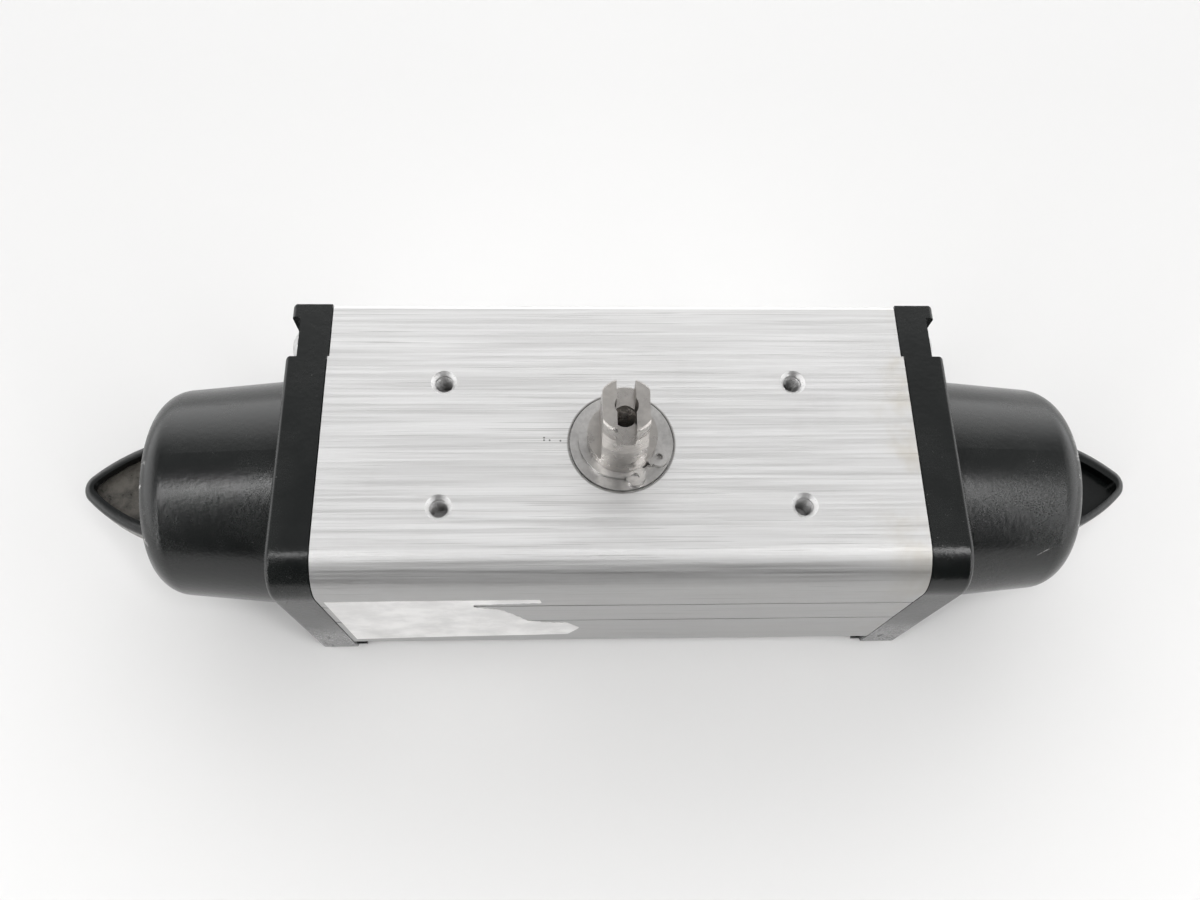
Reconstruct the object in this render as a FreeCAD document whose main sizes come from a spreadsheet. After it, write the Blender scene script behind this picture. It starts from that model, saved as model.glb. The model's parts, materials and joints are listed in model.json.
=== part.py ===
"""Spring-return rotary pneumatic actuator: two rack pistons turn one pinion shaft by a quarter turn.

The row frame has its origin on the shaft axis at the bottom mounting face, +X along the cylinder bore
towards the right-hand cap, +Y towards the solenoid valve pad and +Z up towards the shaft's slotted end.
Lengths are in millimetres. The pistons are drawn at their inner stop, where the springs hold them.
"""
import FreeCAD, Part

import math
import os

import Sketcher
from FreeCAD import Placement, Rotation, Vector

DIMENSIONS = {
    # extruded cylinder body
    "body_length": 133.6, "body_height": 62.0, "front_depth": 32.9, "rear_depth": 36.3,
    "ledge_depth": 21.7, "ledge_drop": 1.6, "corner_radius": 9.6, "rear_corner_radius": 1.2,
    "bore_radius": 25.0, "axis_height": 31.0,
    "groove_width": 0.9, "groove_depth": 0.5, "upper_groove_height": 45.4, "lower_groove_height": 30.6,
    # shaft passages in the body
    "top_hole_radius": 10.5, "bottom_hole_radius": 16.0, "seat_radius": 11.8, "seat_depth": 0.8,
    # accessory pattern on top, valve flange circles below, solenoid pad behind
    "top_pitch_long": 80.0, "top_pitch_short": 30.0, "tap_five_radius": 2.1, "tap_five_depth": 8.0,
    "tap_five_mouth": 2.95, "tap_six_radius": 2.5, "tap_six_depth": 9.0, "tap_eight_radius": 3.4,
    "tap_eight_depth": 13.0, "small_circle": 50.0, "large_circle": 70.0,
    "pad_pitch_long": 32.0, "pad_pitch_high": 24.0, "port_pitch": 24.0, "port_radius": 5.9,
    "port_depth": 8.5, "port_chamfer": 0.7, "duct_radius": 1.8, "duct_height": 45.0,
    "duct_depth": 30.5, "inlet_length": 26.3,
    # end caps
    "gasket_gap": 0.25, "flange_thickness": 9.35, "ear_relief": 2.1, "ear_bead": 3.3,
    "drum_radius": 27.8, "drum_end_radius": 24.6, "drum_length": 32.2, "drum_fillet": 7.3,
    "drum_facing": 1.4, "drum_rim": 0.6,
    "chamber_radius": 23.6, "chamber_end_radius": 21.8, "chamber_wall": 4.1,
    "spigot_radius": 24.85, "spigot_length": 2.4,
    "nose_base_half": 13.6, "nose_middle_half": 9.4, "nose_shoulder_half": 4.5,
    "nose_middle": 11.0, "nose_shoulder": 18.0, "nose_half_thickness": 4.6, "nose_edge": 2.2,
    "nose_tip": 4.3, "dish_inset": 2.7, "dish_depth": 2.4, "dish_wall": 1.6, "dish_tip": 1.7,
    "left_dish_shift": 0.0, "right_dish_shift": -1.1,
    "foot_corner": 2.4, "edge_radius": 1.2, "relief_low": 45.0,
    "lip_front": 31.8, "lip_rear": 28.5, "lip_height": 1.2, "lip_reach": 2.2,
    # cap screws, M5
    "screw_front": 24.5, "screw_rear": 28.0, "screw_rise": 22.5, "screw_radius": 2.45,
    "screw_tap_radius": 2.5, "screw_clearance": 2.75, "screw_grip": 13.0, "tap_run_out": 3.0,
    "head_radius": 4.4, "head_height": 2.8, "head_crown_radius": 5.94, "hex_flats": 3.0,
    "hex_depth": 1.6, "counterbore_radius": 4.8, "counterbore_depth": 4.6,
    # cap seal in a face groove
    "seal_circle": 28.2, "seal_section": 0.9, "seal_groove_half_width": 1.05, "seal_groove_depth": 1.75,
    # shaft
    "shaft_top": 82.0, "shaft_bottom": 0.6, "journal_radius": 7.75, "head_pin_radius": 6.25,
    "shoulder_low": 74.5, "shoulder_high": 77.0, "flats_half": 4.9, "flats_low": 67.0,
    "slot_half": 2.0, "slot_depth": 5.7, "shaft_tap_depth": 18.0, "collar_radius": 10.0,
    "collar_high": 51.0, "base_journal_radius": 14.0, "base_journal_top": 15.5,
    "drive_square": 14.1, "drive_depth": 16.0, "neck_radius": 10.6, "tip_bevel": 0.4,
    "clip_groove_radius": 7.15, "clip_groove_low": 62.5, "clip_groove_width": 1.15,
    # pinion and racks
    "gear_module": 1.25, "pinion_teeth": 20.0, "pressure_angle": 20.0, "tooth_backlash": 0.12,
    "pinion_low": 18.0, "pinion_high": 44.0, "root_clearance": 0.25,
    "first_space": -6.0, "space_count": 9.0,
    # bushes, washers, clip
    "running_gap": 0.05, "top_bush_low": 52.3, "top_bush_high": 61.2, "bottom_bush_top": 12.4,
    "washer_radius": 11.5, "washer_thickness": 1.2, "clip_thickness": 1.0, "clip_outer_radius": 9.3,
    "clip_lug_reach": 9.1, "clip_lug_radius": 2.1, "clip_eye_radius": 0.85,
    "clip_bearing": -49.5, "clip_lug_angle": 22.7, "clip_eccentricity": 0.45, "clip_gap": 1.7,
    "thrust_ring_radius": 10.2, "thrust_ring_low": 51.05, "thrust_ring_thickness": 1.2,
    # seals on the shaft
    "shaft_seal_section": 0.7, "shaft_groove_half_width": 1.1,
    "top_seal_height": 57.0, "bottom_seal_height": 9.5,
    # pistons
    "piston_radius": 24.7, "piston_inner": 28.5, "piston_thickness": 15.5, "arm_tip": 24.5,
    "arm_half_height": 11.0, "arm_back_radius": 23.4, "ring_groove_depth": 1.9,
    "ring_groove_start": 2.2, "guide_groove_start": 8.2, "guide_groove_width": 5.0,
    "piston_seal_section": 1.05, "seal_groove_width": 2.6, "spring_pocket_radius": 21.5,
    "spring_pocket_core": 9.2, "spring_pocket_depth": 6.5, "guide_thickness": 1.75,
    "pad_thickness": 1.4, "pad_half_height": 7.0, "pad_length": 15.0, "pad_far_end": 23.5,
    "peg_radius": 2.5, "peg_length": 3.0, "ring_split": 1.5,
    # return springs
    "outer_spring_radius": 18.6, "outer_spring_wire": 1.6, "outer_spring_turns": 8.5,
    "inner_spring_radius": 12.4, "inner_spring_wire": 1.1, "inner_spring_turns": 10.5,
    "spring_seat_gap": 0.15,
    # torn paper label on the front face
    "label_left": -65.4, "label_right": -9.2, "label_low": 12.0, "label_high": 50.9,
    "label_thickness": 0.12,
}

document = FreeCAD.newDocument("rotary_actuator")
sheet = document.addObject("Spreadsheet::Sheet", "dims")
for row, (alias, number) in enumerate(DIMENSIONS.items(), start=1):
    sheet.set(f"A{row}", alias)
    sheet.set(f"B{row}", str(number))
    sheet.setAlias(f"B{row}", alias)
document.recompute()


def value(expression):
    """The number that an expression on the sheet's cells gives now."""
    return float(sheet.evalExpression(expression))


def cell(alias):
    """The number in one cell of the sheet."""
    return float(getattr(sheet, alias))


def body_named(label):
    """A new PartDesign body with its own label."""
    body = document.addObject("PartDesign::Body", label)
    body.Label = label
    return body


def plane_of(body, role):
    """One of a body's own origin planes."""
    return next(feature for feature in body.Origin.OriginFeatures if feature.Role == role)


def sketch_on(body, role, name, shift=(None, None, None)):
    """A sketch on one of the body's origin planes, shifted by up to three expressions."""
    sketch = body.newObject("Sketcher::SketchObject", name)
    sketch.AttachmentSupport = [(plane_of(body, role), "")]
    sketch.MapMode = "FlatFace"
    for axis, expression in zip("xyz", shift):
        if expression:
            sketch.setExpression(f"AttachmentOffset.Base.{axis}", expression)
    return sketch


def hold_point(sketch, geometry, end, across, up):
    """Places one point of a sketch by two expressions, measured from the sketch's origin."""
    for kind, expression in (("DistanceX", across), ("DistanceY", up)):
        rule = Sketcher.Constraint(kind, -1, 1, geometry, end, value(expression))
        index = sketch.addConstraint(rule)
        sketch.setExpression(f"Constraints[{index}]", expression)


def draw_outline(sketch, corners):
    """A closed outline of straight lines through corners given as pairs of expressions."""
    first = sketch.GeometryCount
    spots = [Vector(value(across), value(up), 0) for across, up in corners]
    for start, stop in zip(spots, spots[1:] + spots[:1]):
        sketch.addGeometry(Part.LineSegment(start, stop), False)
    count = len(corners)
    for index in range(count):
        following = first + (index + 1) % count
        sketch.addConstraint(Sketcher.Constraint("Coincident", first + index, 2, following, 1))
    for index, (across, up) in enumerate(corners):
        hold_point(sketch, first + index, 1, across, up)


def draw_circle(sketch, across, up, radius):
    """A circle whose centre and radius are expressions."""
    centre = Vector(value(across), value(up), 0)
    geometry = sketch.addGeometry(Part.Circle(centre, Vector(0, 0, 1), value(radius)), False)
    hold_point(sketch, geometry, 3, across, up)
    index = sketch.addConstraint(Sketcher.Constraint("Radius", geometry, value(radius)))
    sketch.setExpression(f"Constraints[{index}]", radius)


def pad(body, sketch, name, length, symmetric=False, backwards=False):
    """Extrudes a sketch into solid."""
    feature = body.newObject("PartDesign::Pad", name)
    feature.Profile = sketch
    feature.setExpression("Length", length)
    if symmetric:
        feature.SideType = "Symmetric"
    feature.Reversed = backwards
    document.recompute()
    return feature


def pocket(body, sketch, name, length, symmetric=False, backwards=False):
    """Cuts a sketch out of the solid, and makes sure that it took material away."""
    before = body.Shape.Volume
    feature = body.newObject("PartDesign::Pocket", name)
    feature.Profile = sketch
    feature.setExpression("Length", length)
    if symmetric:
        feature.SideType = "Symmetric"
    feature.Reversed = backwards
    document.recompute()
    if body.Shape.Volume >= before:
        raise RuntimeError(f"{name} cuts nothing")
    return feature


def turn(body, sketch, name, kind="PartDesign::Revolution", axis="H_Axis"):
    """Turns a profile about one of its sketch's axes, as a solid or as a groove."""
    feature = body.newObject(kind, name)
    feature.Profile = sketch
    feature.ReferenceAxis = (sketch, [axis])
    feature.Angle = 360
    document.recompute()
    return feature


DIRECTIONS = {
    "up": Rotation(),
    "down": Rotation(Vector(1, 0, 0), 180),
    "right": Rotation(Vector(0, 1, 0), 90),
    "left": Rotation(Vector(0, 1, 0), -90),
    "front": Rotation(Vector(1, 0, 0), 90),
    "rear": Rotation(Vector(1, 0, 0), -90),
}


def place_cutter(feature, body, spot, rotation):
    """Attaches a cutting primitive at a spot given by three expressions."""
    feature.AttachmentSupport = [(plane_of(body, "XY_Plane"), "")]
    feature.MapMode = "FlatFace"
    feature.AttachmentOffset = Placement(Vector(), rotation)
    for axis, expression in zip("xyz", spot):
        feature.setExpression(f"AttachmentOffset.Base.{axis}", expression)


def drill(body, name, spot, direction, radius, depth):
    """Cuts a round hole from a spot, along one of the named directions or a rotation."""
    feature = body.newObject("PartDesign::SubtractiveCylinder", name)
    place_cutter(feature, body, spot, DIRECTIONS.get(direction, direction))
    feature.setExpression("Radius", radius)
    feature.setExpression("Height", depth)


def countersink(body, name, spot, direction, mouth, radius):
    """Breaks the mouth of a hole with a 45 degree cone."""
    feature = body.newObject("PartDesign::SubtractiveCone", name)
    place_cutter(feature, body, spot, DIRECTIONS[direction])
    feature.setExpression("Radius1", mouth)
    feature.setExpression("Radius2", radius)
    feature.setExpression("Height", f"{mouth} - {radius}")


def round_edges(body, name, radius, chosen):
    """Fillets the edges of the body's last shape that the test picks."""
    base = body.Tip
    names = [f"Edge{number}" for number, edge in enumerate(base.Shape.Edges, start=1) if chosen(edge)]
    feature = body.newObject("PartDesign::Fillet", name)
    feature.Base = (base, names)
    feature.setExpression("Radius", radius)
    document.recompute()
    return feature


def lies_along(edge, axis):
    """True for a straight edge that runs along one axis."""
    if edge.Curve.TypeId != "Part::GeomLine":
        return False
    return abs(abs(edge.Curve.Direction.dot(axis)) - 1) < 1e-6


def shape_feature(label, shape):
    """A document object for a shape that Part's own functions made."""
    feature = document.addObject("Part::Feature", label)
    feature.Label = label
    feature.Shape = shape
    return feature


def section_outline():
    """The end-on outline shared by the body and the cap flanges, as pairs of expressions."""
    return [
        ("-dims.front_depth", "0"),
        ("dims.rear_depth", "0"),
        ("dims.rear_depth", "dims.body_height - dims.ledge_drop"),
        ("dims.ledge_depth", "dims.body_height - dims.ledge_drop"),
        ("dims.ledge_depth", "dims.body_height"),
        ("-dims.front_depth", "dims.body_height"),
    ]


# ---------------------------------------------------------------- cylinder body

SCREW_SPOTS = [
    ("-dims.screw_front", "dims.axis_height + dims.screw_rise"),
    ("-dims.screw_front", "dims.axis_height - dims.screw_rise"),
    ("dims.screw_rear", "dims.axis_height + dims.screw_rise"),
    ("dims.screw_rear", "dims.axis_height - dims.screw_rise"),
]
FRONT_SCREWS = SCREW_SPOTS[:2]
ALONG = Vector(1, 0, 0)


def make_cylinder_body():
    """The extrusion: bore, shaft passages, tapped holes, air ports and ducts."""
    body = body_named("cylinder_body")
    profile = sketch_on(body, "YZ_Plane", "body_section")
    draw_outline(profile, section_outline())
    pad(body, profile, "body_extrusion", "dims.body_length", symmetric=True)

    def is_front(edge):
        return lies_along(edge, ALONG) and edge.CenterOfMass.y < -cell("front_depth") + 0.1

    def is_rear(edge):
        return lies_along(edge, ALONG) and edge.CenterOfMass.y > cell("rear_depth") - 0.1

    round_edges(body, "front_corners", "dims.corner_radius", is_front)
    round_edges(body, "rear_corners", "dims.rear_corner_radius", is_rear)

    bore = sketch_on(body, "YZ_Plane", "bore_section")
    draw_circle(bore, "0", "dims.axis_height", "dims.bore_radius")
    pocket(body, bore, "bore", "dims.body_length + 2", symmetric=True)
    for level in ("upper", "lower"):
        height = f"dims.{level}_groove_height"
        groove = sketch_on(body, "YZ_Plane", f"{level}_groove_section")
        draw_outline(groove, [
            ("-dims.front_depth - 1", f"{height} - dims.groove_width / 2"),
            ("-dims.front_depth + dims.groove_depth", f"{height} - dims.groove_width / 2"),
            ("-dims.front_depth + dims.groove_depth", f"{height} + dims.groove_width / 2"),
            ("-dims.front_depth - 1", f"{height} + dims.groove_width / 2"),
        ])
        pocket(body, groove, f"{level}_groove", "dims.body_length + 2", symmetric=True)

    centre = ("0", "0", "dims.axis_height")
    drill(body, "top_passage", centre, "up", "dims.top_hole_radius", "dims.body_height")
    drill(body, "bottom_passage", centre, "down", "dims.bottom_hole_radius", "dims.body_height")
    seat = ("0", "0", "dims.body_height - dims.seat_depth")
    drill(body, "washer_seat", seat, "up", "dims.seat_radius", "dims.body_height")
    drill_mounting_holes(body)
    drill_air_ways(body)
    for side, inward in ((1, "left"), (-1, "right")):
        for number, (depth, height) in enumerate(SCREW_SPOTS, start=1):
            spot = (f"{side} * dims.body_length / 2", depth, height)
            drill(body, f"cap_tap_{inward}_{number}", spot, inward, "dims.screw_tap_radius",
                  "dims.screw_grip + dims.tap_run_out")
    document.recompute()
    return body


def drill_mounting_holes(body):
    """Accessory taps on top, two valve flange circles below and the solenoid pad's taps behind."""
    for number, (right, rear) in enumerate(((1, 1), (-1, 1), (-1, -1), (1, -1)), start=1):
        top = (f"{right} * dims.top_pitch_long / 2", f"{rear} * dims.top_pitch_short / 2",
               "dims.body_height")
        drill(body, f"accessory_tap_{number}", top, "down", "dims.tap_five_radius",
              "dims.tap_five_depth")
        countersink(body, f"accessory_mouth_{number}", top, "down", "dims.tap_five_mouth",
                    "dims.tap_five_radius")
        for circle, size in (("small", "six"), ("large", "eight")):
            reach = f"dims.{circle}_circle / 2 * sqrt(0.5)"
            below = (f"{right} * {reach}", f"{rear} * {reach}", "0")
            drill(body, f"{circle}_circle_tap_{number}", below, "up", f"dims.tap_{size}_radius",
                  f"dims.tap_{size}_depth")
        behind = (f"{right} * dims.pad_pitch_long / 2", "dims.rear_depth",
                  f"dims.axis_height + {rear} * dims.pad_pitch_high / 2")
        drill(body, f"pad_tap_{number}", behind, "front", "dims.tap_five_radius",
              "dims.tap_five_depth")


def drill_air_ways(body):
    """Two threaded ports: the left one feeds the middle chamber, the right one the duct to both ends."""
    for side, name in ((-1, "middle_port"), (1, "end_port")):
        mouth = (f"{side} * dims.port_pitch / 2", "dims.rear_depth", "dims.axis_height")
        drill(body, name, mouth, "front", "dims.port_radius", "dims.port_depth")
        countersink(body, f"{name}_mouth", mouth, "front", "dims.port_radius + dims.port_chamfer",
                    "dims.port_radius")
    inlet = ("-dims.port_pitch / 2", "dims.rear_depth", "dims.axis_height")
    drill(body, "middle_inlet", inlet, "front", "dims.duct_radius", "dims.inlet_length")
    duct = ("-dims.body_length / 2", "dims.duct_depth", "dims.duct_height")
    drill(body, "end_duct", duct, "right", "dims.duct_radius", "dims.body_length")
    link = ("dims.port_pitch / 2", "dims.duct_depth", "dims.axis_height")
    drill(body, "duct_link", link, "up", "dims.duct_radius", "dims.duct_height - dims.axis_height")


# ---------------------------------------------------------------- end caps

CAP_INNER = "dims.body_length / 2 + dims.gasket_gap"
CAP_OUTER = f"{CAP_INNER} + dims.flange_thickness"
DRUM_END = f"{CAP_OUTER} + dims.drum_length"
DRUM_CROWN = f"{DRUM_END} + dims.drum_facing"


def ogive_outline(inset, tip, base, shift):
    """A pointed-arch outline in plan: two side arcs, a rounded tip and a straight base.

    The side arc passes through the nose's three given half widths, less the inset.
    """
    end = value(DRUM_END)
    spots = [
        Vector(end, cell("nose_base_half"), 0),
        Vector(end + cell("nose_middle"), cell("nose_middle_half"), 0),
        Vector(end + cell("nose_shoulder"), cell("nose_shoulder_half"), 0),
    ]
    circle = Part.Circle(*spots)
    centre = circle.Center
    radius = circle.Radius - inset
    tip_x = centre.x + math.sqrt((radius - tip) ** 2 - centre.y ** 2)
    toward = Vector(tip_x, 0, 0) - centre
    touch = centre + toward.normalize() * radius
    start = Vector(base, centre.y + math.sqrt(radius ** 2 - (base - centre.x) ** 2), 0)
    halfway = (start + touch) * 0.5 - centre
    middle = centre + halfway.normalize() * radius
    rise = Vector(0, shift, 0)

    def mirrored(spot):
        return Vector(spot.x, -spot.y, 0)

    return [
        Part.Arc(start + rise, middle + rise, touch + rise),
        Part.Arc(touch + rise, Vector(tip_x + tip, 0, 0) + rise, mirrored(touch) + rise),
        Part.Arc(mirrored(touch) + rise, mirrored(middle) + rise, mirrored(start) + rise),
        Part.LineSegment(mirrored(start) + rise, start + rise),
    ]


def make_cap(label, dish_shift):
    """One cast cap, drawn at the right-hand end: flange, spring drum, spigot and nose."""
    body = body_named(label)
    face = sketch_on(body, "YZ_Plane", f"{label}_section", (None, None, CAP_INNER))
    draw_outline(face, section_outline())
    pad(body, face, f"{label}_flange", "dims.flange_thickness")

    def front_edge(edge, low):
        if not lies_along(edge, ALONG) or edge.CenterOfMass.y > -cell("front_depth") + 0.1:
            return False
        return (edge.CenterOfMass.z < cell("axis_height")) == low

    round_edges(body, f"{label}_top_corner", "dims.corner_radius", lambda edge: front_edge(edge, False))
    round_edges(body, f"{label}_foot_corner", "dims.foot_corner", lambda edge: front_edge(edge, True))
    outer = value(CAP_OUTER)
    round_edges(body, f"{label}_flange_edge", "dims.edge_radius",
                lambda edge: abs(edge.CenterOfMass.x - outer) < 1e-4)

    profile = sketch_on(body, "XZ_Plane", f"{label}_drum_profile", (None, "dims.axis_height", None))
    draw_outline(profile, [
        (f"{CAP_INNER} - dims.spigot_length", "0"),
        (f"{CAP_INNER} - dims.spigot_length", "dims.spigot_radius"),
        (f"{CAP_INNER} + 1", "dims.spigot_radius"),
        (f"{CAP_INNER} + 1", "dims.drum_radius"),
        (CAP_OUTER, "dims.drum_radius"),
        (DRUM_CROWN, "dims.drum_end_radius"),
        (DRUM_CROWN, "0"),
    ])
    turn(body, profile, f"{label}_drum")
    end = value(DRUM_END)
    crown = value(DRUM_CROWN)
    round_edges(body, f"{label}_drum_edge", "dims.drum_fillet",
                lambda edge: abs(edge.CenterOfMass.x - crown) < 1e-4)
    facing = sketch_on(body, "XZ_Plane", f"{label}_facing_profile", (None, "dims.axis_height", None))
    draw_outline(facing, [
        (DRUM_END, "0"),
        (DRUM_END, "dims.drum_radius"),
        (f"{DRUM_CROWN} + 1", "dims.drum_radius"),
        (f"{DRUM_CROWN} + 1", "0"),
    ])
    turn(body, facing, f"{label}_faced_end", kind="PartDesign::Groove")
    round_edges(body, f"{label}_drum_rim", "dims.drum_rim",
                lambda edge: abs(edge.CenterOfMass.x - end) < 1e-4)

    nose = sketch_on(body, "XY_Plane", f"{label}_nose_plan", (None, None, "dims.axis_height"))
    for curve in ogive_outline(0, cell("nose_tip"), end - 1, 0):
        nose.addGeometry(curve, False)
    pad(body, nose, f"{label}_nose", "2 * dims.nose_half_thickness", symmetric=True)
    half = cell("nose_half_thickness")

    def nose_rim(edge):
        level = abs(abs(edge.CenterOfMass.z - cell("axis_height")) - half) < 1e-4
        return level and edge.CenterOfMass.x > end + 1

    round_edges(body, f"{label}_nose_edges", "dims.nose_edge", nose_rim)
    for facing, sign in (("upper", 1), ("lower", -1)):
        level = f"dims.axis_height + {sign} * dims.nose_half_thickness"
        dish = sketch_on(body, "XY_Plane", f"{label}_{facing}_dish_plan", (None, None, level))
        outline = ogive_outline(cell("dish_inset"), cell("dish_tip"), end + cell("dish_wall"), dish_shift)
        for curve in outline:
            dish.addGeometry(curve, False)
        pocket(body, dish, f"{label}_{facing}_dish", "dims.dish_depth", backwards=sign < 0)

    hollow = sketch_on(body, "XZ_Plane", f"{label}_chamber_profile", (None, "dims.axis_height", None))
    draw_outline(hollow, [
        (f"{CAP_INNER} - dims.spigot_length - 1", "0"),
        (f"{CAP_INNER} - dims.spigot_length - 1", "dims.chamber_radius"),
        (f"{CAP_OUTER}", "dims.chamber_radius"),
        (f"{DRUM_END} - dims.chamber_wall", "dims.chamber_end_radius"),
        (f"{DRUM_END} - dims.chamber_wall", "0"),
    ])
    turn(body, hollow, f"{label}_chamber", kind="PartDesign::Groove")
    ring = sketch_on(body, "XZ_Plane", f"{label}_seal_profile", (None, "dims.axis_height", None))
    draw_outline(ring, [
        (f"{CAP_INNER} - 0.5", "dims.seal_circle - dims.seal_groove_half_width"),
        (f"{CAP_INNER} - 0.5", "dims.seal_circle + dims.seal_groove_half_width"),
        (f"{CAP_INNER} + dims.seal_groove_depth", "dims.seal_circle + dims.seal_groove_half_width"),
        (f"{CAP_INNER} + dims.seal_groove_depth", "dims.seal_circle - dims.seal_groove_half_width"),
    ])
    turn(body, ring, f"{label}_seal_groove", kind="PartDesign::Groove")
    finish_cap_flange(body, label)
    return body


def finish_cap_flange(body, label):
    """Screw ears, screw holes, counterbores and the lip under the body's corner."""
    reliefs = (("upper", "dims.relief_low", "dims.body_height + 1"),
               ("lower", "-1", "dims.body_height - dims.relief_low"))
    for name, low, high in reliefs:
        ear = sketch_on(body, "YZ_Plane", f"{label}_{name}_ear_section", (None, None, CAP_OUTER))
        draw_outline(ear, [
            ("dims.ledge_depth", low),
            ("dims.rear_depth - dims.ear_bead", low),
            ("dims.rear_depth - dims.ear_bead", high),
            ("dims.ledge_depth", high),
        ])
        pocket(body, ear, f"{label}_{name}_ear", "dims.ear_relief")
    for number, (depth, height) in enumerate(SCREW_SPOTS, start=1):
        spot = (CAP_INNER, depth, height)
        drill(body, f"{label}_hole_{number}", spot, "right", "dims.screw_clearance",
              "dims.flange_thickness + 1")
    for number, (depth, height) in enumerate(FRONT_SCREWS, start=1):
        spot = (f"{CAP_OUTER} - dims.counterbore_depth", depth, height)
        drill(body, f"{label}_counterbore_{number}", spot, "right", "dims.counterbore_radius",
              "dims.counterbore_depth + 1")
    lip = body.newObject("PartDesign::AdditiveBox", f"{label}_lip")
    place_cutter(lip, body, (f"{CAP_INNER} - dims.lip_reach", "-dims.lip_front", "0"), Rotation())
    lip.setExpression("Length", "dims.lip_reach + 1")
    lip.setExpression("Width", "dims.lip_front - dims.lip_rear")
    lip.setExpression("Height", "dims.lip_height")
    document.recompute()


def make_end_caps():
    """The two caps are opposite-hand castings, so the left one is a mirror image."""
    right = make_cap("right_end_cap", cell("right_dish_shift"))
    casting = make_cap("left_cap_pattern", cell("left_dish_shift"))
    left = document.addObject("Part::Mirroring", "left_end_cap")
    left.Label = "left_end_cap"
    left.Source = casting
    left.Normal = ALONG
    document.recompute()
    return [left, right]


def button_screw(seat):
    """A button-head socket screw along +X whose head bears on the plane x = seat."""
    tip = value("dims.body_length / 2 - dims.screw_grip")
    radius = cell("head_radius")
    height = cell("head_height")
    crown_radius = cell("head_crown_radius")
    crown = Part.makeSphere(crown_radius, Vector(seat + height - crown_radius, 0, 0))
    head = Part.makeCylinder(radius, height, Vector(seat, 0, 0), ALONG).common(crown)
    shank = Part.makeCylinder(cell("screw_radius"), seat - tip, Vector(tip, 0, 0), ALONG)
    across = cell("hex_flats") / math.sqrt(3)
    corners = [
        Vector(seat + height - cell("hex_depth"), across * math.cos(step * math.pi / 3),
               across * math.sin(step * math.pi / 3))
        for step in range(7)
    ]
    socket = Part.Face(Part.makePolygon(corners)).extrude(ALONG * (cell("hex_depth") + 1))
    return head.fuse(shank).removeSplitter().cut(socket)


def make_cap_screws(side):
    """Four identical screws in one cap: the front pair is counterbored, the rear pair sits on the ears."""
    outer = value(CAP_OUTER)
    solids = []
    for depth, height in SCREW_SPOTS:
        is_front = (depth, height) in FRONT_SCREWS
        seat = outer - (cell("counterbore_depth") if is_front else cell("ear_relief"))
        screw = button_screw(seat)
        screw.translate(Vector(0, value(depth), value(height)))
        solids.append(screw)
    group = Part.makeCompound(solids)
    if side == "left":
        group = group.mirror(Vector(), ALONG)
    return shape_feature(f"{side}_cap_screws", group)


def make_torus(label, section, circle, spot, rotation):
    """An O-ring: section radius, circle radius and the centre's three expressions."""
    ring = document.addObject("Part::Torus", label)
    ring.Label = label
    ring.setExpression("Radius1", circle)
    ring.setExpression("Radius2", section)
    ring.Placement = Placement(Vector(), rotation)
    for axis, expression in zip("xyz", spot):
        ring.setExpression(f"Placement.Base.{axis}", expression)
    return ring


def make_cap_seals():
    """An O-ring in each cap's face groove, resting against the body's end."""
    seals = []
    for name, sign in (("left", -1), ("right", 1)):
        centre = (f"{sign} * (dims.body_length / 2 + dims.seal_section + 0.02)", "0", "dims.axis_height")
        seals.append(make_torus(f"{name}_cap_seal", "dims.seal_section", "dims.seal_circle", centre,
                                DIRECTIONS["right"]))
    return seals


# ---------------------------------------------------------------- shaft

def gear_numbers():
    """Pitch, base, tip and root radii of the pinion."""
    pitch = cell("gear_module") * cell("pinion_teeth") / 2
    base = pitch * math.cos(math.radians(cell("pressure_angle")))
    tip = pitch + cell("gear_module")
    root = pitch - cell("gear_module") - cell("root_clearance")
    return pitch, base, tip, root


def pinion_spaces():
    """The gaps between the pinion's involute teeth, as solids to cut away."""
    pitch, base, tip, root = gear_numbers()
    teeth = int(cell("pinion_teeth"))
    angle = math.radians(cell("pressure_angle"))
    half_tooth = math.pi / (2 * teeth) - cell("tooth_backlash") / (2 * pitch)
    overshoot = 1.0

    def half_space(radius):
        """Half the gap's angle at a radius, along the involute flank."""
        local = math.acos(min(1.0, base / radius))
        tooth = half_tooth + (math.tan(angle) - angle) - (math.tan(local) - local)
        return math.pi / teeth - tooth

    def flank(radius, turn_sign, centre):
        bearing = centre + turn_sign * half_space(radius)
        return Vector(radius * math.cos(bearing), radius * math.sin(bearing), 0)

    solids = []
    low = cell("pinion_low") - overshoot
    height = cell("pinion_high") - low + 0.5
    middle = (base + tip) / 2
    for tooth in range(teeth):
        centre = (2 * tooth + 1) * math.pi / teeth
        floor = [Vector(root * math.cos(centre + sign * half_space(base)),
                        root * math.sin(centre + sign * half_space(base)), 0) for sign in (-1, 1)]
        keel = Vector(root * math.cos(centre), root * math.sin(centre), 0)
        right, left = [
            [flank(base, sign, centre), flank(middle, sign, centre), flank(tip, sign, centre)]
            for sign in (-1, 1)
        ]
        lips = [spots[2] + Vector(spots[2]).normalize() * overshoot for spots in (right, left)]
        edges = [
            Part.Arc(floor[0], keel, floor[1]).toShape(),
            Part.makeLine(floor[1], left[0]),
            Part.Arc(*left).toShape(),
            Part.makeLine(left[2], lips[1]),
            Part.makeLine(lips[1], lips[0]),
            Part.makeLine(lips[0], right[2]),
            Part.Arc(*reversed(right)).toShape(),
            Part.makeLine(right[0], floor[0]),
        ]
        face = Part.Face(Part.Wire(Part.__sortEdges__(edges)))
        face.translate(Vector(0, 0, low))
        solids.append(face.extrude(Vector(0, 0, height)))
    return Part.makeCompound(solids)


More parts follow.
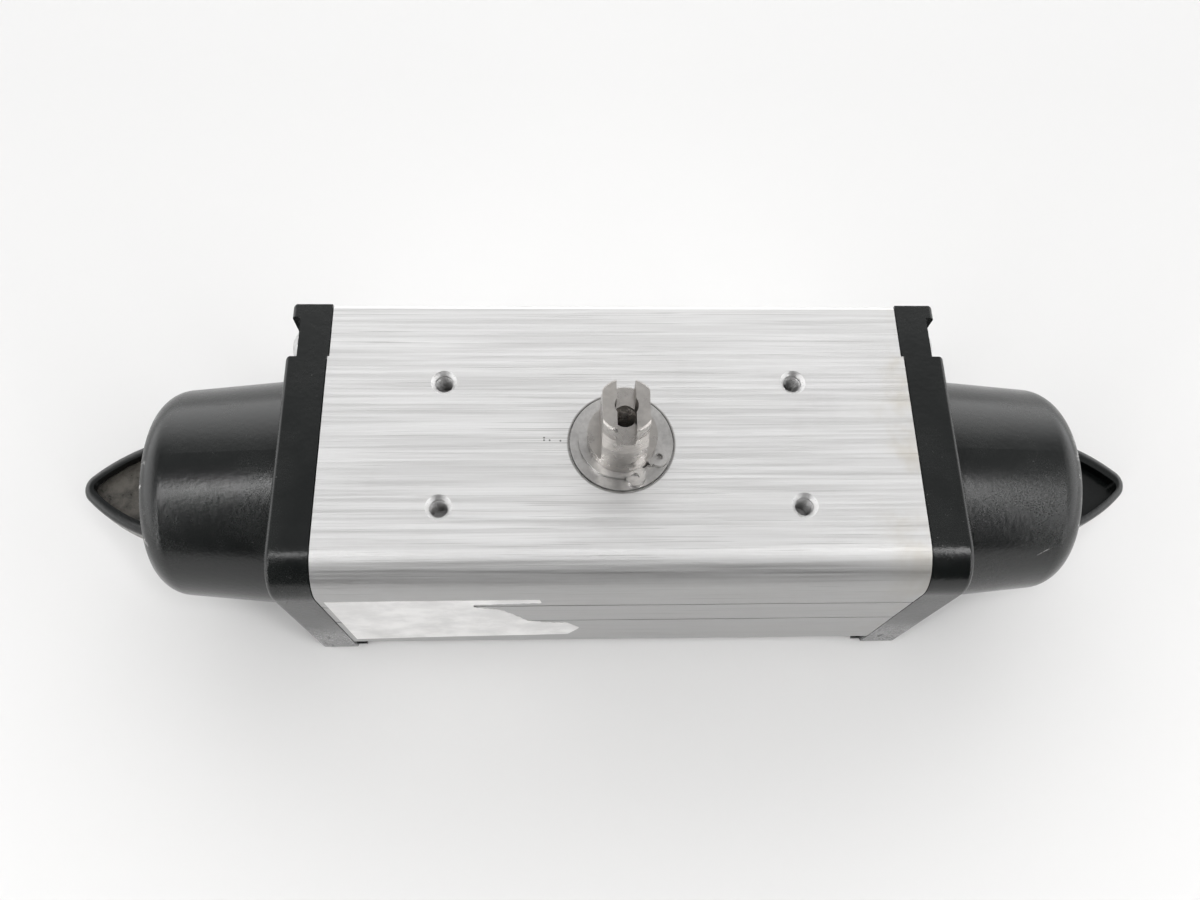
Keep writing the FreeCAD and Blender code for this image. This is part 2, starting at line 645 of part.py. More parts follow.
def make_shaft_blank():
    """The turned shaft with its flats, slot, tapped hole and square drive, before the teeth are cut."""
    body = body_named("shaft_blank")
    profile = sketch_on(body, "XZ_Plane", "shaft_profile")
    floor = "2 * dims.shaft_seal_section"
    tip = "dims.gear_module * (dims.pinion_teeth / 2 + 1)"
    outline = [
        ("0", "dims.shaft_bottom"),
        ("dims.base_journal_radius", "dims.shaft_bottom"),
    ]
    outline += [
        (radius, f"dims.bottom_seal_height + {step} * dims.shaft_groove_half_width")
        for step, radius in ((-1, "dims.base_journal_radius"),
                             (-1, f"dims.base_journal_radius - {floor}"),
                             (1, f"dims.base_journal_radius - {floor}"),
                             (1, "dims.base_journal_radius"))
    ]
    outline += [
        ("dims.base_journal_radius", "dims.base_journal_top"),
        ("dims.neck_radius", "dims.base_journal_top"),
        ("dims.neck_radius", "dims.pinion_low"),
        (tip, "dims.pinion_low"),
        (tip, "dims.pinion_high"),
        ("dims.collar_radius", "dims.pinion_high"),
        ("dims.collar_radius", "dims.collar_high"),
        ("dims.journal_radius", "dims.collar_high"),
    ]
    outline += [
        (radius, f"dims.top_seal_height + {step} * dims.shaft_groove_half_width")
        for step, radius in ((-1, "dims.journal_radius"), (-1, f"dims.journal_radius - {floor}"),
                             (1, f"dims.journal_radius - {floor}"), (1, "dims.journal_radius"))
    ]
    outline += [
        ("dims.journal_radius", "dims.clip_groove_low"),
        ("dims.clip_groove_radius", "dims.clip_groove_low"),
        ("dims.clip_groove_radius", "dims.clip_groove_low + dims.clip_groove_width"),
        ("dims.journal_radius", "dims.clip_groove_low + dims.clip_groove_width"),
        ("dims.journal_radius", "dims.shoulder_low"),
        ("dims.head_pin_radius", "dims.shoulder_high"),
        ("dims.head_pin_radius", "dims.shaft_top - dims.tip_bevel"),
        ("dims.head_pin_radius - dims.tip_bevel", "dims.shaft_top"),
        ("0", "dims.shaft_top"),
    ]
    draw_outline(profile, outline)
    turn(body, profile, "shaft_turning", axis="V_Axis")

    for name, sign in (("right_flat", 1), ("left_flat", -1)):
        flat = sketch_on(body, "XZ_Plane", f"{name}_section")
        draw_outline(flat, [
            (f"{sign} * dims.flats_half", "dims.flats_low"),
            (f"{sign} * (dims.journal_radius + 1)", "dims.flats_low"),
            (f"{sign} * (dims.journal_radius + 1)", "dims.shaft_top + 1"),
            (f"{sign} * dims.flats_half", "dims.shaft_top + 1"),
        ])
        pocket(body, flat, name, "4 * dims.journal_radius", symmetric=True)
    slot = sketch_on(body, "XZ_Plane", "slot_section")
    draw_outline(slot, [
        ("-dims.slot_half", "dims.shaft_top - dims.slot_depth"),
        ("dims.slot_half", "dims.shaft_top - dims.slot_depth"),
        ("dims.slot_half", "dims.shaft_top + 1"),
        ("-dims.slot_half", "dims.shaft_top + 1"),
    ])
    pocket(body, slot, "slot", "4 * dims.journal_radius", symmetric=True)
    drill(body, "shaft_tap", ("0", "0", "dims.shaft_top"), "down", "dims.tap_six_radius",
          "dims.shaft_tap_depth")
    drive = sketch_on(body, "XY_Plane", "drive_section", (None, None, "dims.shaft_bottom"))
    half = "dims.drive_square / 2"
    draw_outline(drive, [(f"-{half}", f"-{half}"), (half, f"-{half}"), (half, half), (f"-{half}", half)])
    pocket(body, drive, "drive_socket", "dims.drive_depth", backwards=True)
    return body


def make_output_shaft():
    """The pinion shaft."""
    blank = make_shaft_blank()
    gaps = shape_feature("pinion_gaps", pinion_spaces())
    shaft = document.addObject("Part::Cut", "output_shaft")
    shaft.Label = "output_shaft"
    shaft.Base = blank
    shaft.Tool = gaps
    document.recompute()
    return shaft


def make_sleeve(label, inner, outer, low, high):
    """A plain ring about the shaft axis, between two heights."""
    body = body_named(label)
    section = sketch_on(body, "XY_Plane", f"{label}_section", (None, None, low))
    draw_circle(section, "0", "0", outer)
    draw_circle(section, "0", "0", inner)
    pad(body, section, f"{label}_ring", f"({high}) - ({low})")
    return body


def make_snap_ring():
    """The external retaining ring: an eccentric ring with two drilled lugs beside its gap."""
    low = value("dims.clip_groove_low + 0.05")
    thickness = cell("clip_thickness")
    inner = value("dims.clip_groove_radius + dims.running_gap")
    bearing = math.radians(cell("clip_bearing"))
    toward_gap = Vector(math.cos(bearing), math.sin(bearing), 0)
    lift = Vector(0, 0, low)
    middle = lift - toward_gap * cell("clip_eccentricity")
    ring = Part.makeCylinder(cell("clip_outer_radius"), thickness, middle)
    for sign in (-1, 1):
        turned = bearing + sign * math.radians(cell("clip_lug_angle"))
        spot = Vector(math.cos(turned), math.sin(turned), 0) * cell("clip_lug_reach") + lift
        ring = ring.fuse(Part.makeCylinder(cell("clip_lug_radius"), thickness, spot))
    ring = ring.removeSplitter()
    for sign in (-1, 1):
        turned = bearing + sign * math.radians(cell("clip_lug_angle"))
        spot = Vector(math.cos(turned), math.sin(turned), 0) * cell("clip_lug_reach") + lift
        ring = ring.cut(Part.makeCylinder(cell("clip_eye_radius"), thickness, spot))
    ring = ring.cut(Part.makeCylinder(inner, thickness, lift))
    width = cell("clip_gap")
    gap = Part.makeBox(2 * cell("clip_lug_reach"), width, thickness, Vector(0, -width / 2, low))
    gap.rotate(Vector(), Vector(0, 0, 1), cell("clip_bearing"))
    return shape_feature("snap_ring", ring.cut(gap))


def make_shaft_trim():
    """Bushes, washer, thrust ring and O-rings on the shaft."""
    gap = "dims.running_gap"
    return [
        make_sleeve("top_shaft_bush", f"dims.journal_radius + {gap}", "dims.top_hole_radius - 0.02",
                    "dims.top_bush_low", "dims.top_bush_high"),
        make_sleeve("bottom_shaft_bush", f"dims.base_journal_radius + {gap}",
                    "dims.bottom_hole_radius - 0.02", "dims.shaft_bottom", "dims.bottom_bush_top"),
        make_sleeve("top_washer", f"dims.journal_radius + {gap} * 2", "dims.washer_radius",
                    "dims.top_bush_high", "dims.top_bush_high + dims.washer_thickness"),
        make_sleeve("thrust_ring", f"dims.journal_radius + {gap}", "dims.thrust_ring_radius",
                    "dims.thrust_ring_low", "dims.thrust_ring_low + dims.thrust_ring_thickness"),
        make_torus("top_shaft_seal", "dims.shaft_seal_section",
                   "dims.journal_radius - dims.shaft_seal_section + 0.02",
                   ("0", "0", "dims.top_seal_height"), Rotation()),
        make_torus("bottom_shaft_seal", "dims.shaft_seal_section",
                   "dims.base_journal_radius - dims.shaft_seal_section + 0.02",
                   ("0", "0", "dims.bottom_seal_height"), Rotation()),
    ]


# ---------------------------------------------------------------- pistons

PISTON_FACE = "dims.piston_inner + dims.piston_thickness"
HALF_TURNED = Placement(Vector(), Rotation(Vector(0, 0, 1), 180))
PITCH_LINE = "dims.gear_module * dims.pinion_teeth / 2"
TOOTH_PITCH = "pi * dims.gear_module"


def make_piston(side):
    """A piston with its rack arm: the right one is drawn, the left one is the same part turned round."""
    label = f"{side}_piston"
    body = body_named(label)
    head = sketch_on(body, "XZ_Plane", f"{label}_profile", (None, "dims.axis_height", None))
    groove_floor = "dims.piston_radius - dims.ring_groove_depth"
    seal_far = f"{PISTON_FACE} - dims.ring_groove_start"
    guide_far = f"{PISTON_FACE} - dims.guide_groove_start"
    draw_outline(head, [
        ("dims.piston_inner", "0"),
        ("dims.piston_inner", "dims.piston_radius"),
        (f"{guide_far} - dims.guide_groove_width", "dims.piston_radius"),
        (f"{guide_far} - dims.guide_groove_width", groove_floor),
        (guide_far, groove_floor),
        (guide_far, "dims.piston_radius"),
        (f"{seal_far} - dims.seal_groove_width", "dims.piston_radius"),
        (f"{seal_far} - dims.seal_groove_width", groove_floor),
        (seal_far, groove_floor),
        (seal_far, "dims.piston_radius"),
        (PISTON_FACE, "dims.piston_radius"),
        (PISTON_FACE, "dims.spring_pocket_radius"),
        (f"{PISTON_FACE} - dims.spring_pocket_depth", "dims.spring_pocket_radius"),
        (f"{PISTON_FACE} - dims.spring_pocket_depth", "dims.spring_pocket_core"),
        (PISTON_FACE, "dims.spring_pocket_core"),
        (PISTON_FACE, "0"),
    ])
    turn(body, head, f"{label}_head")

    rack_tip = f"{PITCH_LINE} - dims.gear_module"
    arm = sketch_on(body, "YZ_Plane", f"{label}_arm_section", (None, None, "-dims.arm_tip"))
    inner = -value(rack_tip)
    half = cell("arm_half_height")
    axis = cell("axis_height")
    back = -math.sqrt(cell("arm_back_radius") ** 2 - half ** 2)
    corners = [Vector(back, axis + half, 0), Vector(inner, axis + half, 0),
               Vector(inner, axis - half, 0), Vector(back, axis - half, 0)]
    for start, stop in zip(corners, corners[1:]):
        arm.addGeometry(Part.LineSegment(start, stop), False)
    arm.addGeometry(Part.Arc(corners[3], Vector(-cell("arm_back_radius"), axis, 0), corners[0]), False)
    pad(body, arm, f"{label}_arm", "dims.arm_tip + dims.piston_inner + 0.5")

    space = sketch_on(body, "XY_Plane", f"{label}_tooth_space", (None, None, "dims.axis_height"))
    slope = "tan(dims.pressure_angle * 1 deg)"
    centre = f"dims.first_space * {TOOTH_PITCH}"
    half_gap = f"({TOOTH_PITCH} / 4 + dims.tooth_backlash / 2)"
    depth = "(dims.gear_module + dims.root_clearance)"
    mouth = "(dims.gear_module + 0.5)"
    draw_outline(space, [
        (f"{centre} - {half_gap} + {depth} * {slope}", f"-{PITCH_LINE} - {depth}"),
        (f"{centre} + {half_gap} - {depth} * {slope}", f"-{PITCH_LINE} - {depth}"),
        (f"{centre} + {half_gap} + {mouth} * {slope}", f"-{PITCH_LINE} + {mouth}"),
        (f"{centre} - {half_gap} - {mouth} * {slope}", f"-{PITCH_LINE} + {mouth}"),
    ])
    gap = pocket(body, space, f"{label}_space", "3 * dims.arm_half_height", symmetric=True)
    rack = body.newObject("PartDesign::LinearPattern", f"{label}_rack")
    rack.Originals = [gap]
    rack.Direction = (space, ["H_Axis"])
    rack.setExpression("Length", f"(dims.space_count - 1) * {TOOTH_PITCH}")
    rack.setExpression("Occurrences", "dims.space_count")
    body.Tip = rack
    document.recompute()

    peg = ("-dims.pad_far_end + dims.pad_length / 2", "-dims.arm_back_radius - 1", "dims.axis_height")
    drill(body, f"{label}_peg_hole", peg, "rear", "dims.peg_radius + 0.05", "dims.peg_length + 1.3")
    if side == "left":
        body.Placement = HALF_TURNED
    document.recompute()
    return body


def make_split_ring(side):
    """The guide ring in the piston's inner groove, split at the top so that it can be fitted."""
    floor = value("dims.piston_radius - dims.ring_groove_depth + 0.05")
    far = value(f"{PISTON_FACE} - dims.guide_groove_start - 0.1")
    width = value("dims.guide_groove_width - 0.2")
    start = Vector(far - width, 0, cell("axis_height"))
    ring = Part.makeCylinder(floor + cell("guide_thickness"), width, start, ALONG)
    ring = ring.cut(Part.makeCylinder(floor, width, start, ALONG))
    split = cell("ring_split")
    ring = ring.cut(Part.makeBox(width, split, cell("bore_radius") + 1, start - Vector(0, split / 2, 0)))
    feature = shape_feature(f"{side}_piston_guide_ring", ring)
    if side == "left":
        feature.Placement = HALF_TURNED * feature.Placement
    return feature


def make_rack_pad(side):
    """The low-friction pad behind the rack, with its locating peg."""
    inner = value("dims.arm_back_radius + 0.03")
    length = cell("pad_length")
    start = Vector(-cell("pad_far_end"), 0, cell("axis_height"))
    shell = Part.makeCylinder(inner + cell("pad_thickness"), length, start, ALONG)
    shell = shell.cut(Part.makeCylinder(inner, length, start, ALONG))
    half = cell("pad_half_height")
    window = Part.makeBox(length, cell("bore_radius") + 1, 2 * half,
                          start - Vector(0, cell("bore_radius") + 1, half))
    peg_start = start + Vector(length / 2, -inner - cell("pad_thickness") / 2, 0)
    peg = Part.makeCylinder(cell("peg_radius"), cell("peg_length") + cell("pad_thickness") / 2,
                            peg_start, Vector(0, 1, 0))
    feature = shape_feature(f"{side}_rack_pad", shell.common(window).fuse(peg).removeSplitter())
    if side == "left":
        feature.Placement = HALF_TURNED * feature.Placement
    return feature


def make_piston_seal(side):
    """The O-ring in the piston's outer groove."""
    sign = 1 if side == "right" else -1
    centre = (f"{sign} * ({PISTON_FACE} - dims.ring_groove_start - dims.seal_groove_width / 2)", "0",
              "dims.axis_height")
    circle = "dims.piston_radius - dims.ring_groove_depth + dims.piston_seal_section + 0.02"
    return make_torus(f"{side}_piston_seal", "dims.piston_seal_section", circle, centre,
                      DIRECTIONS["right"])


def make_spring(side, size):
    """A return spring between the piston's pocket and the drum's end wall."""
    wire = cell(f"{size}_spring_wire")
    radius = cell(f"{size}_spring_radius")
    near = value(f"{PISTON_FACE} - dims.spring_pocket_depth + dims.spring_seat_gap") + wire
    far = value(f"{DRUM_END} - dims.chamber_wall - dims.spring_seat_gap") - wire
    pitch = (far - near) / cell(f"{size}_spring_turns")
    path = Part.makeHelix(pitch, far - near, radius)
    first = path.Edges[0]
    section = Part.makeCircle(wire, first.valueAt(first.FirstParameter),
                              first.tangentAt(first.FirstParameter))
    coil = path.makePipeShell([Part.Wire(section)], True, True)
    coil.rotate(Vector(), Vector(0, 1, 0), 90)
    coil.translate(Vector(near, 0, cell("axis_height")))
    feature = shape_feature(f"{side}_{size}_spring", coil)
    if side == "left":
        feature.Placement = HALF_TURNED * feature.Placement
    return feature


# ---------------------------------------------------------------- label

# corners of the tear, upwards: how far left of its right-most point and above the lower edge
TEAR = [(2.8, 3.4), (0.0, 10.9), (2.8, 16.1), (12.4, 18.7), (15.3, 25.3), (18.3, 30.0), (29.4, 34.5),
        (8.8, 36.5)]


def make_label():
    """What is left of a paper label on the front face, torn along its right-hand edge."""
    body = body_named("front_label")
    outline = sketch_on(body, "XZ_Plane", "label_outline", (None, None, "dims.front_depth"))
    torn = [(f"dims.label_right - {back}", f"dims.label_low + {rise}") for back, rise in TEAR]
    draw_outline(outline, [
        ("dims.label_left", "dims.label_low"),
        *torn,
        (torn[-1][0], "dims.label_high"),
        ("dims.label_left", "dims.label_high"),
    ])
    pad(body, outline, "label_paper", "dims.label_thickness")
    return body


# ---------------------------------------------------------------- assembly

def make_all():
    """Every sub-part, in the order of assembly."""
    parts = [make_cylinder_body()] + make_end_caps() + make_cap_seals()
    parts += [make_cap_screws(side) for side in ("left", "right")]
    parts += [make_output_shaft(), make_snap_ring()] + make_shaft_trim()
    for side in ("left", "right"):
        parts += [make_piston(side), make_piston_seal(side), make_split_ring(side), make_rack_pad(side)]
        parts += [make_spring(side, size) for size in ("outer", "inner")]
    parts.append(make_label())
    document.recompute()
    return parts


def check_document():
    """Stops if any object of the document failed to build."""
    for item in document.Objects:
        if "Invalid" in item.State or "Error" in item.State:
            raise RuntimeError(f"{item.Label}: {item.State}")


def write_parts(parts):
    """Writes one STEP file for each sub-part."""
    os.makedirs("parts", exist_ok=True)
    for part in parts:
        shape = part.Shape
        if shape.isNull() or not shape.isValid() or not shape.Solids:
            raise RuntimeError(f"{part.Label}: not a valid solid")
        shape.exportStep(f"parts/{part.Label}.step")
        print(f"{part.Label}: {len(shape.Solids)} solid(s), {shape.Volume:.0f} mm3")


sub_parts = make_all()
check_document()
write_parts(sub_parts)
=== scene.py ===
import json
import math

import bmesh
import bpy
from mathutils import Matrix, Vector, noise

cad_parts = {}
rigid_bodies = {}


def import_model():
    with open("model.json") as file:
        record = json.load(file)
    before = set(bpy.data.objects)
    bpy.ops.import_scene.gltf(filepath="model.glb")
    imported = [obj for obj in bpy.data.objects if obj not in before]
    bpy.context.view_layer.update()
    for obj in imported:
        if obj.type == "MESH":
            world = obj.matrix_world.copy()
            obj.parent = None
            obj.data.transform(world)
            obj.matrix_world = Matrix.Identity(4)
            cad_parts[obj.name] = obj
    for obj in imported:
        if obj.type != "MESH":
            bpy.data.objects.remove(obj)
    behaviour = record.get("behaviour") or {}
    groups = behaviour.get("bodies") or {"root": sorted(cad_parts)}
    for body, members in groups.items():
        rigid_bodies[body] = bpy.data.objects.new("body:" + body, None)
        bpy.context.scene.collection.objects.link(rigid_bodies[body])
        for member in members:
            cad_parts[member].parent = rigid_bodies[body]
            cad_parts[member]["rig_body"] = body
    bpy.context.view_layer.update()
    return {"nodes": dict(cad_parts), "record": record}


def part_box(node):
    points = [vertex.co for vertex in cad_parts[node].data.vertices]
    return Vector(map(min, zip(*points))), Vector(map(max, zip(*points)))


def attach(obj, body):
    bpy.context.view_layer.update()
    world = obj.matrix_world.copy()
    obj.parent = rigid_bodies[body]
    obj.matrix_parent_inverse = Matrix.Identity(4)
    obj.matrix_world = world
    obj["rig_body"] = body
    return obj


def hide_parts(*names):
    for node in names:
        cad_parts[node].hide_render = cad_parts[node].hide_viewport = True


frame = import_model()

MM = 0.001
NODES = frame["nodes"]
SUBPARTS = frame["record"]["subparts"]

# ---------------------------------------------------------------- driving places, from the frame
BODY_LOW, BODY_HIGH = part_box("cylinder_body")
SHAFT_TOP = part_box("output_shaft")[1].z
BORE_Z = BODY_HIGH.z / 2
FLANGE_OUT = BODY_HIGH.x + 9.6 * MM
DRUM_END = FLANGE_OUT + 32.2 * MM
SEAT_RADIUS = 11.8 * MM
# small nicks in the top face, in millimetres from the shaft's axis
NICKS = ((-17.25, 1.25), (-17.25, 0.64), (-16.0, 0.63), (-13.6, 0.5))
# a scratch on the right drum, from end to end
SCRATCH = ((96.0 * MM, -22.4 * MM, 43.3 * MM), (101.6 * MM, -20.4 * MM, 46.5 * MM))


# ---------------------------------------------------------------- material nodes
class Nodes:
    """A node tree, with a short call for each kind of node used here."""

    def __init__(self, tree):
        self.tree = tree

    def add(self, kind, **settings):
        node = self.tree.nodes.new(kind)
        for name, setting in settings.items():
            setattr(node, name, setting)
        return node

    def link(self, source, target):
        self.tree.links.new(source, target)

    def feed(self, socket, source):
        """A socket takes either a link or a number."""
        if isinstance(source, bpy.types.NodeSocket):
            self.link(source, socket)
        else:
            socket.default_value = source

    def maths(self, operation, first, second=0.0, third=0.0):
        node = self.add("ShaderNodeMath", operation=operation)
        for socket, source in zip(node.inputs, (first, second, third)):
            self.feed(socket, source)
        return node.outputs[0]

    def span(self, source, low, high, bottom=0.0, top=1.0, smooth=True):
        """Maps low..high to bottom..top, held outside."""
        kind = "SMOOTHSTEP" if smooth else "LINEAR"
        node = self.add("ShaderNodeMapRange", interpolation_type=kind)
        for socket, value in zip(node.inputs, (source, low, high, bottom, top)):
            self.feed(socket, value)
        return node.outputs[0]

    def mix(self, share, first, second):
        """Mixes two colours."""
        node = self.add("ShaderNodeMix", data_type="RGBA")
        for number, source in ((0, share), (6, first), (7, second)):
            if isinstance(source, tuple):
                source = (*source, 1.0)
            self.feed(node.inputs[number], source)
        return node.outputs[2]


class Shader(Nodes):
    """The nodes of one material, in the row frame."""

    def __init__(self, name, **constants):
        self.material = bpy.data.materials.new(name)
        self.material.use_nodes = True
        super().__init__(self.material.node_tree)
        self.surface = self.tree.nodes["Principled BSDF"]
        for socket, number in constants.items():
            self.surface.inputs[socket.replace("_", " ")].default_value = number
        self.place = self.add("ShaderNodeTexCoord").outputs["Object"]

    def to(self, name, source):
        self.link(source, self.surface.inputs[name])

    def scaled(self, scale, shift=(0, 0, 0)):
        """The row frame's place, stretched, so that a noise gets a grain direction."""
        node = self.add("ShaderNodeMapping")
        self.link(self.place, node.inputs["Vector"])
        node.inputs["Scale"].default_value = scale
        node.inputs["Location"].default_value = shift
        return node.outputs[0]

    def noise(self, scale, detail=2.0, rough=0.5, shift=(0, 0, 0)):
        """Noise with that many features per metre; scale is a number or one for each axis."""
        if not isinstance(scale, tuple):
            scale = (scale, scale, scale)
        node = self.add("ShaderNodeTexNoise")
        self.link(self.scaled(scale, shift), node.inputs["Vector"])
        node.inputs["Scale"].default_value = 1.0
        node.inputs["Detail"].default_value = detail
        node.inputs["Roughness"].default_value = rough
        return node.outputs[0]

    def axes(self):
        node = self.add("ShaderNodeSeparateXYZ")
        self.link(self.place, node.inputs[0])
        return node.outputs

    def bump(self, height, depth, strength=1.0, below=None):
        """A relief of that depth in metres, over another relief if one is given."""
        node = self.add("ShaderNodeBump")
        self.feed(node.inputs["Height"], height)
        node.inputs["Distance"].default_value = depth
        node.inputs["Strength"].default_value = strength
        if below is not None:
            self.link(below, node.inputs["Normal"])
        return node.outputs[0]

    def length(self, first, second):
        """The length of a vector with those two parts."""
        squares = [self.maths("MULTIPLY", part, part) for part in (first, second)]
        return self.maths("SQRT", self.maths("ADD", *squares))

    def from_spot(self, spot):
        """Distance from a point of the row frame."""
        node = self.add("ShaderNodeVectorMath", operation="DISTANCE")
        self.link(self.place, node.inputs[0])
        node.inputs[1].default_value = spot
        return node.outputs["Value"]

    def stroke(self, start, end, width):
        """One along the middle of a scratch between two points, falling to zero at its width."""
        start, end = Vector(start), Vector(end)
        along = end - start
        offset = self.add("ShaderNodeVectorMath", operation="SUBTRACT")
        self.link(self.place, offset.inputs[0])
        offset.inputs[1].default_value = start
        dot = self.add("ShaderNodeVectorMath", operation="DOT_PRODUCT")
        self.link(offset.outputs[0], dot.inputs[0])
        dot.inputs[1].default_value = along / along.length_squared
        share = self.span(dot.outputs["Value"], 0.0, 1.0, smooth=False)
        reach = self.add("ShaderNodeVectorMath", operation="SCALE")
        reach.inputs[0].default_value = along
        self.link(share, reach.inputs["Scale"])
        miss = self.add("ShaderNodeVectorMath", operation="DISTANCE")
        self.link(offset.outputs[0], miss.inputs[0])
        self.link(reach.outputs[0], miss.inputs[1])
        return self.span(miss.outputs["Value"], 0.0, width, 1.0, 0.0)


def grey(level, warmth=0.0):
    return (level * (1 + warmth), level, level * (1 - warmth))


def brushed_aluminium():
    """Extruded, brushed along X and clear anodised, with fine dark streaks and stains, and painted
    shade darkening the front.
    """
    s = Shader("brushed_aluminium", Metallic=1.0)
    x, y, z = s.axes()
    broad = s.noise((16, 1100, 1100), 2.0, 0.6)
    fine = s.noise((45, 4200, 4200), 2.0, 0.6, (3, 1, 7))
    hair = s.noise((32, 3600, 3600), 1.0, 0.5, (11, 5, 2))
    from_axis = s.length(x, y)
    near_shaft = s.span(from_axis, 12 * MM, 45 * MM, 0.07, 0.0)
    dark_from = s.maths("SUBTRACT", 0.655, near_shaft)
    streak = s.span(hair, dark_from, s.maths("ADD", dark_from, 0.08))
    clouds = s.noise(60, 4.0, 0.6, (2, 9, 4))
    tone = s.mix(s.span(broad, 0.3, 0.7), grey(0.63, 0.006), grey(0.71, 0.003))
    tone = s.mix(s.span(fine, 0.45, 0.75, 0.0, 0.25), tone, grey(0.48, 0.01))
    tone = s.mix(s.maths("MULTIPLY", streak, 0.32), tone, grey(0.25, 0.02))
    tone = s.mix(s.span(clouds, 0.55, 0.8, 0.0, 0.12), tone, grey(0.40, 0.03))
    stained = s.maths("MULTIPLY", s.span(x, 52 * MM, 66 * MM), s.span(clouds, 0.45, 0.7))
    tone = s.mix(s.maths("MULTIPLY", stained, 0.35), tone, (0.46, 0.40, 0.29))
    # painted shade: the front face, and the top face within 9 mm of it, are darkened towards grey
    front = s.span(y, BODY_LOW.y, BODY_LOW.y + 9 * MM, 0.55, 0.0)
    tone = s.mix(front, tone, grey(0.33, 0.004))
    # a dark, brownish line along the rim of the washer seat, at the top face
    seat_edge = BODY_HIGH.z - 0.05 * MM
    from_seat = s.maths("ABSOLUTE", s.maths("SUBTRACT", from_axis, SEAT_RADIUS))
    ring = s.maths("MULTIPLY", s.span(from_seat, 0.1 * MM, 0.5 * MM, 1.0, 0.0),
                   s.span(z, seat_edge - MM, seat_edge))
    tone = s.mix(s.maths("MULTIPLY", ring, 0.75), tone, grey(0.10, 0.08))
    nicks = 0.0
    for across, along in NICKS:
        gone = s.from_spot((across * MM, along * MM, BODY_HIGH.z))
        nicks = s.maths("MAXIMUM", nicks, s.span(gone, 0.12 * MM, 0.3 * MM, 1.0, 0.0))
    tone = s.mix(s.maths("MULTIPLY", nicks, 0.85), tone, grey(0.06))
    s.to("Base Color", tone)
    rough = s.span(broad, 0.3, 0.7, 0.44, 0.56)
    s.to("Roughness", s.maths("ADD", rough, s.maths("MULTIPLY", streak, 0.12)))
    relief = s.bump(fine, 0.04 * MM, 0.5)
    s.to("Normal", s.bump(broad, 0.05 * MM, 0.3, relief))
    return s.material


def powder_coat():
    """Semi-gloss black coat: fine orange peel, dust, dark scuffs, chips to bright metal on the rims,
    and dust with a painted sheen on the low front faces.
    """
    s = Shader("powder_coat", IOR=1.48)
    x, y, z = s.axes()
    out = s.maths("ABSOLUTE", x)
    peel = s.noise(900, 2.0, 0.5)
    finer = s.noise(3000, 2.0, 0.6, (4, 4, 4))
    patch = s.noise(48, 3.0, 0.6, (8, 1, 3))
    up = s.maths("SUBTRACT", z, BORE_Z)
    radius = s.length(y, up)
    rim = s.maths("MULTIPLY", s.span(out, DRUM_END - 2.2 * MM, DRUM_END - 0.3 * MM),
                  s.span(radius, 17 * MM, 20 * MM))
    at_front = s.span(y, BODY_LOW.y + 0.4 * MM, BODY_LOW.y + 1.2 * MM, 1.0, 0.0)
    low_front = s.maths("MULTIPLY", at_front, s.span(z, 30 * MM, 14 * MM))
    chip_noise = s.noise(420, 3.0, 0.65, (1, 6, 2))
    chips = s.maths("MULTIPLY", s.span(chip_noise, 0.60, 0.63), rim)
    scuff_noise = s.noise((900, 250, 180), 2.0, 0.6, (5, 0, 8))
    scuffs = s.maths("MULTIPLY", s.span(scuff_noise, 0.62, 0.66), low_front)
    specks = s.span(s.noise(1700, 1.0, 0.5, (9, 2, 2)), 0.755, 0.785)
    dust = s.maths("MULTIPLY", specks, s.span(patch, 0.45, 0.75))
    scratch = s.stroke(*SCRATCH, 0.28 * MM)
    scratch = s.maths("MULTIPLY", scratch, s.span(finer, 0.35, 0.6))
    nose = s.span(out, DRUM_END + 1.5 * MM, DRUM_END + 3 * MM)
    left_nose = s.maths("MULTIPLY", nose, s.span(x, -10 * MM, 10 * MM, 1.0, 0.0))
    grime_noise = s.noise(260, 4.0, 0.7, (3, 3, 8))
    dish_grime = s.maths("MULTIPLY", left_nose, s.span(grime_noise, 0.3, 0.7, 0.25, 0.9))
    inside = s.span(z, BORE_Z + 2.9 * MM, BORE_Z + 2.0 * MM)
    dish_grime = s.maths("MULTIPLY", dish_grime, inside)
    deep, pale = (0.0035, 0.0045, 0.0044), (0.0075, 0.0088, 0.0084)
    black = s.mix(s.span(patch, 0.35, 0.7), deep, pale)
    black = s.mix(s.maths("MULTIPLY", dish_grime, 0.55), black, (0.27, 0.245, 0.21))
    # dust and painted sheen: the low front faces are lightened towards grey, partly dust and partly a
    # painted grazing reflection of the floor
    dust_and_sheen = s.maths("MULTIPLY", low_front, s.span(finer, 0.2, 0.8, 0.5, 1.0))
    black = s.mix(dust_and_sheen, black, grey(0.24))
    black = s.mix(s.maths("MULTIPLY", scuffs, 0.9), black, (0.004, 0.004, 0.004))
    bare = s.maths("MAXIMUM", s.maths("MAXIMUM", chips, s.maths("MULTIPLY", scratch, 0.7)),
                   s.maths("MULTIPLY", dust, 0.35))
    s.to("Base Color", s.mix(bare, black, grey(0.40, 0.01)))
    s.to("Metallic", s.maths("MULTIPLY", chips, 0.8))
    rough = s.span(patch, 0.3, 0.75, 0.19, 0.27)
    rough = s.maths("ADD", rough, s.span(finer, 0.3, 0.7, -0.02, 0.05))
    s.to("Roughness", s.maths("ADD", rough, s.maths("MULTIPLY", dish_grime, 0.2)))
    relief = s.bump(peel, 0.10 * MM, 0.35)
    relief = s.bump(finer, 0.03 * MM, 0.3, relief)
    s.to("Normal", s.bump(s.maths("SUBTRACT", 1.0, chips), 0.08 * MM, 0.6, relief))
    return s.material


